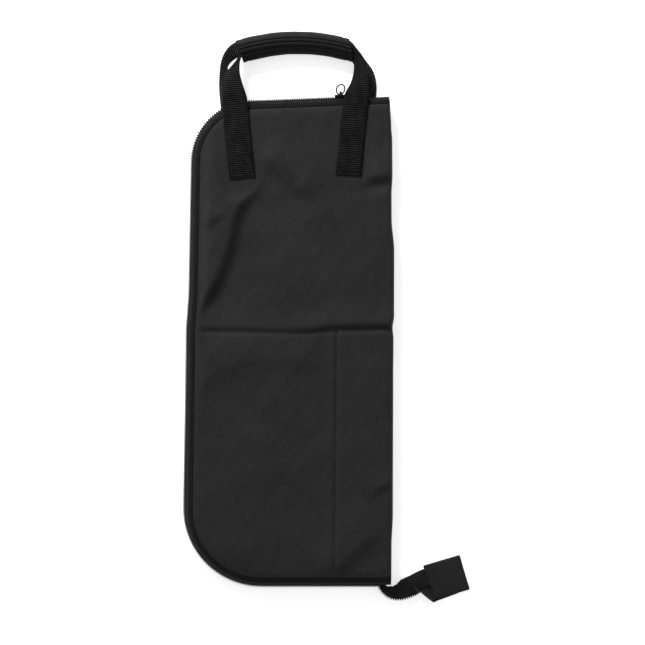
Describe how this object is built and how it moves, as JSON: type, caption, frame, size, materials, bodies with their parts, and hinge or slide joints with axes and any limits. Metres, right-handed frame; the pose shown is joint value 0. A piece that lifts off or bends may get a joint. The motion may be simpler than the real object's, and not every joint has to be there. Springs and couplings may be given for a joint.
{
  "type": "drum stick bag",
  "caption": "Flat black folding stick bag with a zip round three sides, webbing handles joined by a padded wrap, inner stick pockets and a tabbed zip tail.",
  "frame": {"origin": "middle of the whole outline, on the surface that the front cover lies on", "axes": "+X towards the spine fold, +Y towards the handles, +Z out of the back cover"},
  "size_m": [0.276, 0.5522, 0.0237],
  "materials": {
    "shell_fabric": "black 600D polyester, plain weave, matt",
    "foam": "dark grey closed-cell foam, hidden",
    "lining_fabric": "black 210D nylon, slight sheen",
    "pocket_fabric": "black polyester, matt",
    "binding_tape": "black ribbed binding tape",
    "webbing": "black ribbed polypropylene webbing, slight sheen",
    "touch_fastener": "black hook and loop tape",
    "zip_coil": "black nylon coil, satin",
    "zip_tape": "black woven zip tape, matt",
    "slider_metal": "black painted die casting, satin",
    "ring_wire": "plain steel wire"
  },
  "bodies": {
    "front_cover": {"front_shell": "shell_fabric", "front_foam": "foam", "front_lining": "lining_fabric", "front_pocket_panel": "pocket_fabric", "front_pocket_binding": "binding_tape", "front_zip_tape": "zip_tape", "front_zip_coil": "zip_coil", "front_edge_binding": "binding_tape", "front_strap_left_end": "webbing", "front_strap_right_end": "webbing"},
    "spine": {"spine_panel": "shell_fabric", "spine_lining": "lining_fabric"},
    "back_cover": {"back_shell": "shell_fabric", "back_foam": "foam", "back_lining": "lining_fabric", "back_pocket_panel": "pocket_fabric", "back_pocket_binding": "binding_tape", "back_zip_tape": "zip_tape", "back_zip_coil": "zip_coil", "back_edge_binding": "binding_tape", "back_strap_left_end": "webbing", "back_strap_right_end": "webbing"},
    "front_handle": {"front_handle_webbing": "webbing", "wrap_base_cover": "shell_fabric", "wrap_base_padding": "foam", "wrap_loop_strip": "touch_fastener"},
    "wrap_flap": {"wrap_flap_cover": "shell_fabric", "wrap_flap_padding": "foam", "wrap_hook_strip": "touch_fastener"},
    "back_handle": {"back_handle_webbing": "webbing"},
    "slider": {"slider_body": "slider_metal", "slider_crown": "slider_metal"},
    "pull_ring": {"pull_ring": "ring_wire"},
    "zip_tail": {"tail_upper_tape": "zip_tape", "tail_lower_tape": "zip_tape", "tail_coil": "zip_coil", "tail_tab": "shell_fabric"}
  },
  "joints": [
    {"name": "spine_fold", "type": "hinge", "parent": "front_cover", "child": "spine", "pos_m": [0.06169, 0.00112, 0.0011], "axis": [0, 1, 0], "range_deg": [0, 90]},
    {"name": "back_cover_fold", "type": "hinge", "parent": "spine", "child": "back_cover", "pos_m": [0.06169, 0.00112, 0.0209], "axis": [0, 1, 0], "range_deg": [0, 90]},
    {"name": "tail_swing", "type": "hinge", "parent": "front_cover", "child": "zip_tail", "pos_m": [0.06149, -0.26138, 0.011], "axis": [0, 0, 1], "range_deg": [-97, 0]},
    {"name": "slider_travel", "type": "slide", "parent": "front_cover", "child": "slider", "axis": [0.9992, 0.0394, 0], "range_m": [-0.077, 0], "deforming": ["front_zip_coil", "back_zip_coil"]},
    {"name": "ring_swing", "type": "hinge", "parent": "slider", "child": "pull_ring", "pos_m": [0.01349, 0.21591, 0.011], "axis": [0.9992, 0.0394, 0], "range_deg": [-60, 60]},
    {"name": "front_handle_swing", "type": "hinge", "parent": "front_cover", "child": "front_handle", "pos_m": [-0.03051, 0.15862, -0.0003], "axis": [1, 0, 0], "range_deg": [-150, 0]},
    {"name": "back_handle_swing", "type": "hinge", "parent": "back_cover", "child": "back_handle", "pos_m": [-0.03051, 0.15862, 0.024], "axis": [1, 0, 0], "range_deg": [0, 150]},
    {"name": "wrap_flap_open", "type": "hinge", "parent": "front_handle", "child": "wrap_flap", "pos_m": [-0.03261, 0.27262, 0.0094], "axis": [-0.9999, -0.0149, 0], "range_deg": [0, 130], "deforming": ["wrap_flap_cover", "wrap_flap_padding", "wrap_hook_strip"]}
  ],
  "couplings": [
    {"joint": "back_cover_fold", "follows": "spine_fold", "ratio": 1},
    {"joint": "tail_swing", "follows": "spine_fold", "ratio": -1.066}
  ]
}
